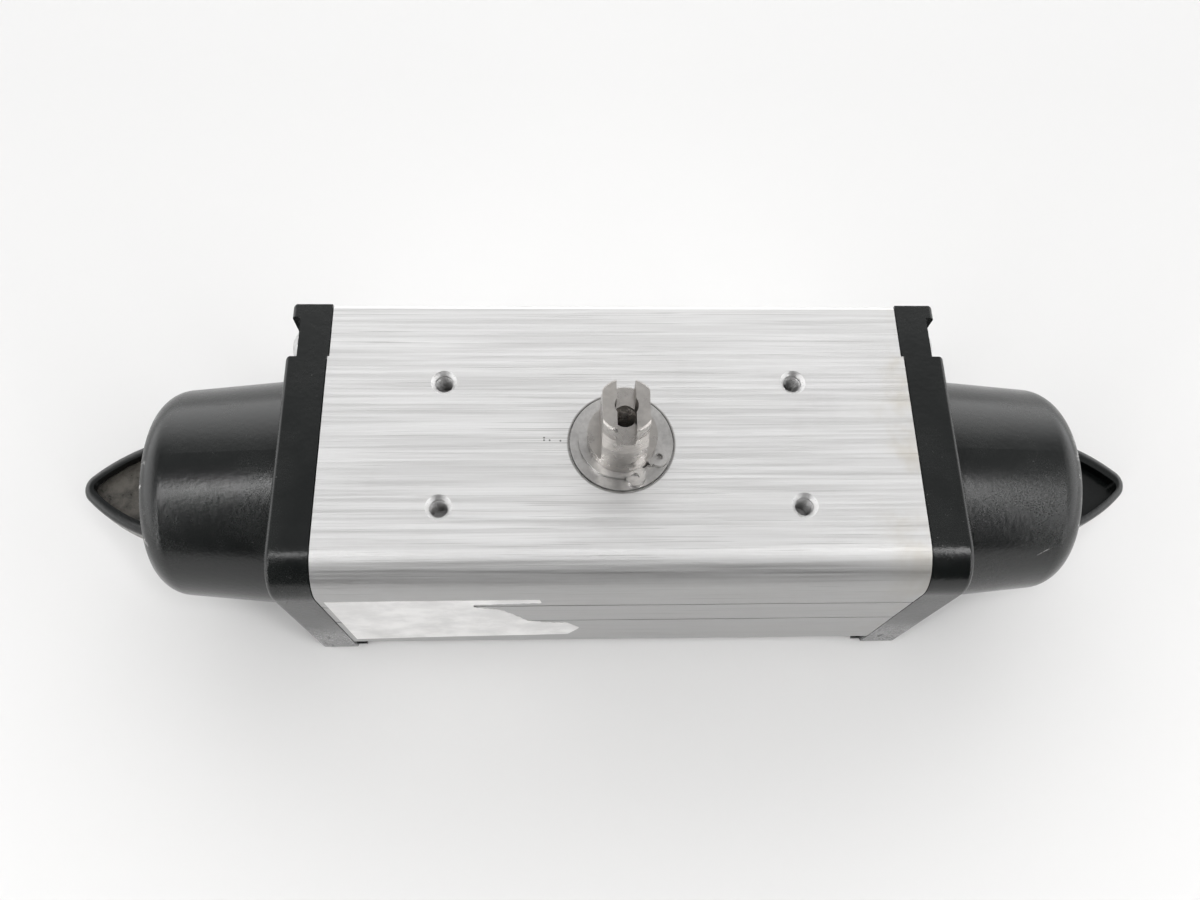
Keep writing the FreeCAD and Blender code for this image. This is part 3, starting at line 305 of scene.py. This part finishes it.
def satin_metal(name, tone, roughness, warmth=0.0, turned=False):
    """Plated or machined metal: turning marks or an even satin, with stains and a little wear."""
    s = Shader(name, Metallic=1.0)
    grain = s.noise((500, 500, 5200) if turned else (900, 900, 900), 3.0, 0.6)
    stain = s.noise(130, 4.0, 0.65, (5, 5, 1))
    dark, bright = grey(tone * 0.9, warmth), grey(tone * 1.06, warmth)
    stained = grey(tone * 0.55, warmth + 0.06)
    colour = s.mix(s.span(grain, 0.3, 0.7), dark, bright)
    colour = s.mix(s.span(stain, 0.52, 0.75, 0.0, 0.4), colour, stained)
    s.to("Base Color", colour)
    s.to("Roughness", s.span(stain, 0.3, 0.75, roughness - 0.05, roughness + 0.12))
    s.to("Normal", s.bump(grain, 0.03 * MM, 0.4))
    return s.material


def soft_solid(name, tone, roughness, grain_scale=1800, warmth=0.0, depth=0.04):
    """Rubber, polymer or paint: an even colour with mottling, fine grain and dust."""
    s = Shader(name)
    grain = s.noise(grain_scale, 3.0, 0.6)
    mottle = s.noise(90, 4.0, 0.6, (2, 7, 7))
    dark, bright = grey(tone * 0.86, warmth), grey(tone * 1.08, warmth)
    dusty = grey(min(1.0, tone * 1.5), warmth)
    colour = s.mix(s.span(mottle, 0.35, 0.7), dark, bright)
    colour = s.mix(s.span(grain, 0.6, 0.8, 0.0, 0.25), colour, dusty)
    s.to("Base Color", colour)
    s.to("Roughness", s.span(mottle, 0.3, 0.7, roughness - 0.06, roughness + 0.08))
    s.to("Normal", s.bump(grain, depth * MM, 0.5))
    return s.material


MATERIALS = {
    "extruded_aluminium": brushed_aluminium(),
    "black_powder_coat": powder_coat(),
    "stainless_fasteners": satin_metal("stainless", 0.66, 0.26),
    "nitrile_rubber": soft_solid("rubber", 0.018, 0.6),
    "plated_shaft_steel": satin_metal("satin_nickel", 0.44, 0.28, 0.045, True),
    "retainer_steel": satin_metal("spring_steel", 0.50, 0.34, 0.02),
    "bearing_polymer": soft_solid("polymer", 0.66, 0.5, 1400, 0.05),
    "cast_aluminium": satin_metal("cast_metal", 0.58, 0.42),
    "coated_spring_steel": soft_solid("spring_coat", 0.05, 0.38, 2200, -0.3),
    "label_paper": soft_solid("label_face", 0.86, 0.55, 2400, 0.01, 0.015),
}
for part in SUBPARTS:
    cad_object = NODES[part["node"]]
    cad_object.data.materials.clear()
    cad_object.data.materials.append(MATERIALS[part["material_slot"]])


# ---------------------------------------------------------------- floor, room and camera
FLOOR_REACH = 4.0
FLOOR_FRONT, FLOOR_REAR = -0.20, 0.16


def make_floor():
    """A pale sheet, with painted shade that makes it a little darker towards the rear."""
    mesh = bpy.data.meshes.new("floor")
    corners = [(i * FLOOR_REACH, j * FLOOR_REACH, 0) for i, j in ((-1, -1), (1, -1), (1, 1), (-1, 1))]
    mesh.from_pydata(corners, [], [(0, 1, 2, 3)])
    floor = bpy.data.objects.new("floor", mesh)
    floor.location.z = -0.05 * MM
    bpy.context.scene.collection.objects.link(floor)
    s = Shader("pale_sheet", Roughness=0.6)
    # painted shade: the sheet's colour darkens towards the rear, shaping how bright the floor looks
    # from front to rear
    painted_rear_shade = s.span(s.axes()[1], FLOOR_FRONT, FLOOR_REAR, smooth=False)
    s.to("Base Color", s.mix(painted_rear_shade, grey(0.86, 0.006), grey(0.72, 0.004)))
    mesh.materials.append(s.material)


STRIP_LIGHT = 16.0
SIDE_LIGHT = 0.34
DARK_FRONT = 0.03
WALL_LIGHT = 2.2
SIDE_WALLS = 1.9
# places in the direction's X and Y parts, each from where it begins to where it is full
STRIP_Y = -0.14
ARCH, ARCH_POWER = 8.0, 6.0
REAR_WALL = (0.32, 0.95)
SIDE_WALL = (0.60, 0.92)
DIM_MIDDLE = (0.14, 0.44)


def make_room():
    """A soft studio: an arched strip light overhead, dark in front, pale walls behind and beside.

    Each part depends on the direction's X and Y parts; the strip bends down towards the sides.
    """
    world = bpy.data.worlds.new("soft_room")
    bpy.context.scene.world = world
    world.use_nodes = True
    n = Nodes(world.node_tree)
    split = n.add("ShaderNodeSeparateXYZ")
    n.link(n.add("ShaderNodeTexCoord").outputs["Generated"], split.inputs[0])
    y = split.outputs[1]
    sideways = n.maths("ABSOLUTE", split.outputs[0])
    bend = n.maths("MULTIPLY", n.maths("POWER", sideways, ARCH_POWER), ARCH)
    behind = n.maths("ADD", n.maths("SUBTRACT", y, STRIP_Y), bend)
    strip = n.maths("MULTIPLY", n.span(behind, -0.07, -0.01), n.span(behind, 0.02, 0.11, 1.0, 0.0))
    room = n.span(behind, -0.16, -0.06, DARK_FRONT, SIDE_LIGHT)
    wall = n.span(y, *REAR_WALL, 0.0, WALL_LIGHT)
    sides = n.span(sideways, *SIDE_WALL, 0.0, SIDE_WALLS)
    strip = n.maths("MULTIPLY", strip, n.span(sideways, *DIM_MIDDLE, 0.15, 1.0))
    light = n.maths("MULTIPLY_ADD", strip, STRIP_LIGHT, room)
    light = n.maths("ADD", light, n.maths("ADD", wall, sides))
    background = world.node_tree.nodes["Background"]
    n.link(light, background.inputs["Strength"])
    background.inputs["Color"].default_value = (1.0, 1.0, 1.0, 1.0)


def make_camera():
    """The viewer stands in front, looks steeply down and holds the camera a little turned."""
    right = Vector((0.9992, -0.0184, 0.0367))
    up = Vector((0.0031, 0.9249, 0.3803))
    back = right.cross(up)
    turn = Matrix((right, up, back)).transposed().to_4x4()
    data = bpy.data.cameras.new("camera")
    data.sensor_width = 36.0
    data.lens = 29.94
    data.clip_start = 0.01
    camera = bpy.data.objects.new("camera", data)
    camera.matrix_world = Matrix.Translation((-0.0139, -0.0861, 0.2672)) @ turn
    bpy.context.scene.collection.objects.link(camera)
    bpy.context.scene.camera = camera


# ---------------------------------------------------------------- new pieces and threads
def add_piece(name, build, body, slot, smooth=True):
    """A new mesh piece: build fills the bmesh in the row frame, and the piece rides on a CAD body."""
    mesh = bpy.data.meshes.new(name)
    bm = bmesh.new()
    build(bm)
    bmesh.ops.recalc_face_normals(bm, faces=bm.faces)
    bm.to_mesh(mesh)
    bm.free()
    mesh.polygons.foreach_set("use_smooth", [smooth] * len(mesh.polygons))
    mesh.materials.append(MATERIALS[slot])
    piece = bpy.data.objects.new(name, mesh)
    bpy.context.scene.collection.objects.link(piece)
    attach(piece, body)
    return piece


def thread_ring(bm, place, root, pitch, length):
    """One tapped hole's thread: a thin sleeve whose inner side is a helical ridge.

    The sleeve's mouth is at the place's origin and it runs down the place's -Z.
    """
    columns, per_turn = 36, 8
    rows = round(length / pitch * per_turn)
    depth = 0.34 * pitch
    skin = 0.05 * MM

    def level(row, column):
        phase = (row / per_turn - column / columns) % 1.0
        ridge = min(1.0, max(0.0, 1.75 - abs(phase - 0.5) * 5))
        fade = min(1.0, row / per_turn, (rows - row) / per_turn)
        radius = root - depth * ridge * fade
        turn = math.tau * column / columns
        down = -row * length / rows
        return place @ Vector((radius * math.cos(turn), radius * math.sin(turn), down))

    inner = [[bm.verts.new(level(row, column)) for column in range(columns)]
             for row in range(rows + 1)]
    outer = []
    for row in (0, rows):
        ring = []
        for column in range(columns):
            turn = math.tau * column / columns
            reach = root + skin
            spot = (reach * math.cos(turn), reach * math.sin(turn), -row * length / rows)
            ring.append(bm.verts.new(place @ Vector(spot)))
        outer.append(ring)
    loops = [outer[0], *inner, outer[1], outer[0]]
    for upper, lower in zip(loops, loops[1:]):
        for column in range(columns):
            beside = (column + 1) % columns
            bm.faces.new((upper[column], upper[beside], lower[beside], lower[column]))


def facing(spot, axis):
    """A place whose +Z points out along a mount's axis."""
    turn = Vector(axis).to_track_quat("Z", "Y").to_matrix().to_4x4()
    return Matrix.Translation(Vector(spot)) @ turn


def around(centre, across, along):
    """The four corners of a rectangle about a centre; across and along are its half sizes."""
    signs = ((1, 1), (-1, 1), (-1, -1), (1, -1))
    return [Vector(centre) + across * i + along * j for i, j in signs]


X_WAY, Y_WAY, Z_WAY = Vector((1, 0, 0)), Vector((0, 1, 0)), Vector((0, 0, 1))
MOUTH = 0.9 * MM


def make_threads():
    """The visible threads of every tapped hole; each set is one piece."""
    top = around((0, 0, BODY_HIGH.z - MOUTH), X_WAY * 40 * MM, Y_WAY * 15 * MM)
    rear = around((0, BODY_HIGH.y - 0.1 * MM, BORE_Z), X_WAY * 16 * MM, Z_WAY * 12 * MM)
    small, large = (around((0, 0, 0.1 * MM), X_WAY * radius * MM * math.sqrt(0.5),
                           Y_WAY * radius * MM * math.sqrt(0.5)) for radius in (25, 35))
    ports = [Vector((side * 12 * MM, BODY_HIGH.y - MOUTH, BORE_Z)) for side in (-1, 1)]
    shaft_end = [Vector((0, 0, SHAFT_TOP - 5.8 * MM))]
    # name, places, way out, root radius, pitch and length in millimetres, and the node they are in
    sets = [
        ("accessory_threads", top, Z_WAY, 2.1, 0.8, 6.9, "cylinder_body"),
        ("pad_threads", rear, Y_WAY, 2.1, 0.8, 7.6, "cylinder_body"),
        ("small_circle_threads", small, -Z_WAY, 2.5, 1.0, 8.6, "cylinder_body"),
        ("large_circle_threads", large, -Z_WAY, 3.4, 1.25, 12.4, "cylinder_body"),
        ("port_threads", ports, Y_WAY, 5.9, 1.337, 7.2, "cylinder_body"),
        ("shaft_end_thread", shaft_end, Z_WAY, 2.5, 1.0, 12.0, "output_shaft"),
    ]
    for name, spots, way, root, pitch, length, node in sets:
        def build(bm):
            for spot in spots:
                thread_ring(bm, facing(spot, way), root * MM, pitch * MM, length * MM)
        body = NODES[node]["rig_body"]
        slot = next(p["material_slot"] for p in SUBPARTS if p["node"] == node)
        add_piece(name, build, body, slot)


# ---------------------------------------------------------------- label
# corners on the front face, X and Z in millimetres; the paper is torn from one corner to another
LABEL_OUTLINE = [
    (-65.4, 11.9), (-65.4, 50.8), (-40.0, 51.1), (-18.3, 51.2), (-18.0, 48.6), (-30.8, 47.5),
    (-38.4, 46.4), (-32.0, 44.2), (-27.5, 42.2), (-24.5, 37.3), (-21.6, 30.9), (-17.5, 28.9),
    (-12.0, 28.1), (-9.2, 22.9), (-12.0, 15.6), (-22.0, 14.9), (-33.2, 14.4), (-48.7, 13.4),
]
TORN_FROM, TORN_TO = 3, 14
TEAR_STEP, TEAR_DEPTH = 0.45, 0.42
LONGEST_EDGE = 2.2 * MM


def make_label():
    """The rest of a paper label: straight where it was cut and ragged where it tore."""
    edge = []
    count = len(LABEL_OUTLINE)
    for number in range(count):
        start = Vector(LABEL_OUTLINE[number])
        end = Vector(LABEL_OUTLINE[(number + 1) % count])
        steps = max(1, round((end - start).length / TEAR_STEP))
        torn = TORN_FROM <= number < TORN_TO
        for step in range(steps):
            spot = start.lerp(end, step / steps)
            if torn and step:
                across = (end - start).orthogonal().normalized()
                place = Vector((spot.x, spot.y, 3.0)) * 1.1
                spot += across * TEAR_DEPTH * noise.fractal(place, 0.6, 2.2, 4)
            edge.append(spot)

    def build(bm):
        face = bm.faces.new([bm.verts.new((p.x * MM, 0, p.y * MM)) for p in edge])
        bmesh.ops.triangulate(bm, faces=[face])
        long_edges = [e for e in bm.edges if e.calc_length() > LONGEST_EDGE]
        bmesh.ops.subdivide_edges(bm, edges=long_edges, cuts=2)
        bmesh.ops.triangulate(bm, faces=bm.faces)
        grown = bmesh.ops.extrude_face_region(bm, geom=list(bm.faces))
        lifted = [v for v in grown["geom"] if isinstance(v, bmesh.types.BMVert)]
        for vertex in bm.verts:
            vertex.co.y = BODY_LOW.y - 0.01 * MM
        for vertex in lifted:
            x, z = vertex.co.x / MM, vertex.co.z / MM
            wave = noise.fractal(Vector((x * 0.12, z * 0.2, 1.5)), 0.8, 2.0, 3)
            vertex.co.y -= (0.10 + 0.012 * wave) * MM

    piece = add_piece("torn_label", build, "housing", "label_paper", smooth=False)
    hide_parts("front_label")


make_floor()
make_room()
make_camera()
make_threads()
make_label()
bpy.context.scene.view_settings.view_transform = "Standard"
